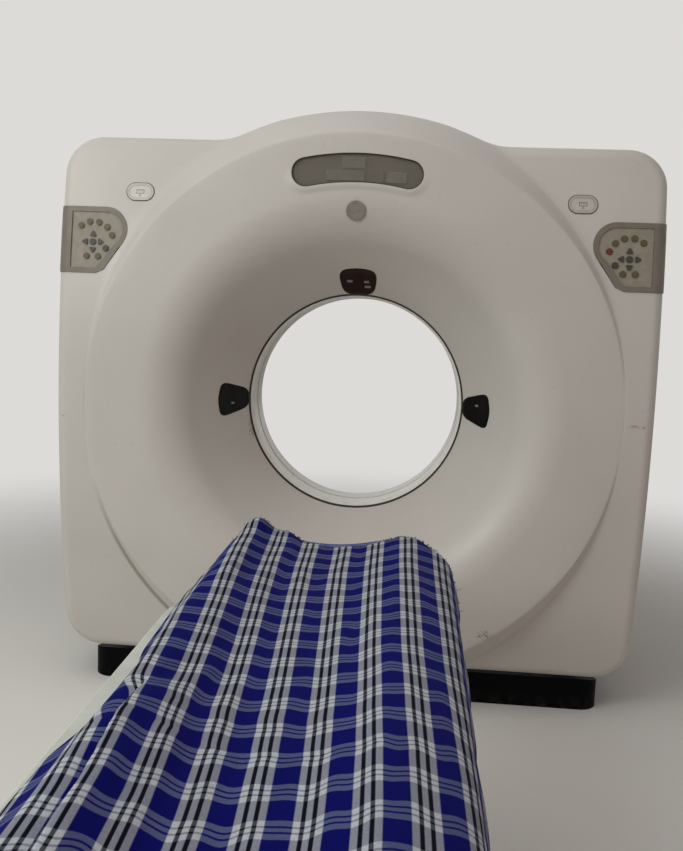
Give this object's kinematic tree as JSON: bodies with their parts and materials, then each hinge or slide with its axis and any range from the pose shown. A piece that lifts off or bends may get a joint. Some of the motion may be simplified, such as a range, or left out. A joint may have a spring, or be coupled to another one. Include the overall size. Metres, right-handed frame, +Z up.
{
  "type": "computed tomography scanner",
  "caption": "Tilting ring-shaped scanner gantry on a black floor base, with a rotating tube and detector inside, and a lifting table whose cradle slides into the aperture.",
  "frame": {"origin": "on the floor, directly below the centre of the patient aperture, at the centre of the gantry's anchor holes", "axes": "+Z up, +Y along the aperture away from the patient table, +X to the right seen from the table side"},
  "size_m": [1.84, 3.59, 1.86],
  "materials": {
    "cover_white": "satin off-white lacquer on moulded covers",
    "cover_trim": "satin light grey moulding",
    "pod_taupe": "fine-textured grey-brown moulding",
    "keypad_film": "embossed membrane over the switches",
    "base_black": "textured black powder coat",
    "frame_grey": "grey enamel on steel",
    "cast_steel": "machined casting",
    "bright_steel": "ground steel",
    "bronze": "bearing bronze",
    "window_dark": "tinted window",
    "display_dark": "smoked window, slightly glossy",
    "display_glass": "unlit liquid crystal faces",
    "disc_grey": "plain disc with a fine rim",
    "button_grey": "grey ring round the switch",
    "button_white": "light push button",
    "black_plastic": "black housing",
    "belt_rubber": "ribbed rubber belt",
    "liner_plastic": "smooth light liner",
    "scan_film": "thin translucent film ring",
    "motor_grey": "dark grey enamel",
    "alloy": "machined aluminium",
    "column_grey": "light grey lacquer on sheet",
    "cradle_shell": "moulded carbon and foam shell, light top coat",
    "pad_vinyl": "royal-blue coated vinyl over foam",
    "plaid_wool": "deep royal-blue woven plaid with white, black and lilac stripes",
    "copper_ring": "copper tracks on an insulating ring"
  },
  "bodies": {
    "floor_base": {"gantry_base": "base_black", "left_tower": "frame_grey", "right_tower": "frame_grey", "tower_bushes": "bronze", "tilt_drive": "motor_grey", "cable_duct": "base_black", "table_base": "base_black", "outer_column": "column_grey", "lift_cylinder": "frame_grey"},
    "middle_stage": {"middle_column": "column_grey", "lift_sleeve": "bright_steel"},
    "table_top": {"table_frame": "frame_grey", "table_cover": "cover_white", "cradle_rails": "bright_steel", "lift_rod": "bright_steel"},
    "roller": {"front_roller": "black_plastic"},
    "cradle": {"cradle": "cradle_shell", "cradle_carriage": "alloy", "cradle_pad": "pad_vinyl", "plaid_cloth": "plaid_wool"},
    "tilting_gantry": {"tilt_frame": "cast_steel", "trunnion_pins": "bright_steel", "bearing_outer_ring": "bright_steel", "front_cover": "cover_white", "rear_cover": "cover_white", "cover_posts": "frame_grey", "bore_liner": "liner_plastic", "scan_window": "scan_film", "throat_rings": "cover_trim", "display_window": "display_dark", "display_panels": "display_glass", "front_disc": "disc_grey", "laser_windows": "window_dark", "laser_modules": "black_plastic", "left_control_pod": "pod_taupe", "right_control_pod": "pod_taupe", "left_keypad": "keypad_film", "right_keypad": "keypad_film", "button_rings": "button_grey", "drive_motor": "motor_grey", "drive_belt": "belt_rubber", "brush_block": "black_plastic"},
    "rotor": {"rotor_plate": "cast_steel", "bearing_inner_ring": "bright_steel", "xray_tube": "frame_grey", "collimator": "frame_grey", "detector": "black_plastic", "high_voltage_tank": "motor_grey", "inverter_box": "alloy", "slip_ring": "copper_ring", "balance_weights": "cast_steel"},
    "motor_pulley": {"motor_pulley": "alloy"},
    "left_button": {"left_push_button": "button_white"},
    "right_button": {"right_push_button": "button_white"}
  },
  "joints": [
    {"name": "gantry_tilt", "type": "hinge", "parent": "floor_base", "child": "tilting_gantry", "pos_m": [0, 0, 0.95], "axis": [1, 0, 0], "range_deg": [-20, 20]},
    {"name": "rotor_spin", "type": "hinge", "parent": "tilting_gantry", "child": "rotor", "pos_m": [0, 0, 0.95], "axis": [0, 1, 0], "continuous": true},
    {"name": "pulley_spin", "type": "hinge", "parent": "tilting_gantry", "child": "motor_pulley", "pos_m": [0.52, 0.06, 0.39], "axis": [0, 1, 0], "continuous": true},
    {"name": "left_button_press", "type": "slide", "parent": "tilting_gantry", "child": "left_button", "axis": [0, 0.9855, -0.1697], "range_m": [0, 0.003], "stiffness_N_per_m": 600, "springref_m": -0.002},
    {"name": "right_button_press", "type": "slide", "parent": "tilting_gantry", "child": "right_button", "axis": [0, 0.9855, -0.1697], "range_m": [0, 0.003], "stiffness_N_per_m": 600, "springref_m": -0.002},
    {"name": "table_lift", "type": "slide", "parent": "floor_base", "child": "table_top", "axis": [0, 0, 1], "range_m": [-0.2, 0.1]},
    {"name": "middle_lift", "type": "slide", "parent": "floor_base", "child": "middle_stage", "axis": [0, 0, 1], "range_m": [-0.1, 0.05]},
    {"name": "cradle_slide", "type": "slide", "parent": "table_top", "child": "cradle", "axis": [0, 1, 0], "range_m": [0, 1.05], "deforming": ["plaid_cloth"]},
    {"name": "roller_spin", "type": "hinge", "parent": "table_top", "child": "roller", "pos_m": [0, -1.45, 0.5947], "axis": [1, 0, 0], "range_deg": [-2410, 2]}
  ],
  "couplings": [
    {"joint": "pulley_spin", "follows": "rotor_spin", "ratio": 12},
    {"joint": "middle_lift", "follows": "table_lift", "ratio": 0.5},
    {"joint": "roller_spin", "follows": "cradle_slide", "rad_per_m": -40}
  ]
}
